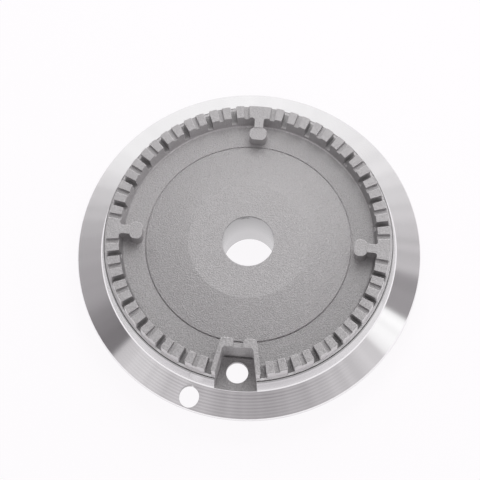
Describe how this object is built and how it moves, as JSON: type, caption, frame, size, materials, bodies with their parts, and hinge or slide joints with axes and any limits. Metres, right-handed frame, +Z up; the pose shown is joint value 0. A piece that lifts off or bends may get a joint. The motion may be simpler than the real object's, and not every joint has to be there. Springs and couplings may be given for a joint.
{
  "type": "gas burner flame spreader",
  "caption": "Round die-cast flame spreader with a toothed crown, turned conical flange, central mixing tube, electrode notch and thermocouple hole.",
  "frame": {"origin": "on the axis of the mixing tube, at the level of the tube's lower end, which the part stands on", "axes": "+Z up along the mixing tube, towards the teeth; the electrode notch is at the front, towards -Y; ejector bosses lie along +X, +Y and -X"},
  "size_m": [0.11, 0.11, 0.025],
  "materials": {
    "cast_aluminium": "sandy as-cast grey inside, bright turned band and flange outside"
  },
  "bodies": {
    "root": {"flame_spreader": "cast_aluminium"}
  },
  "joints": []
}
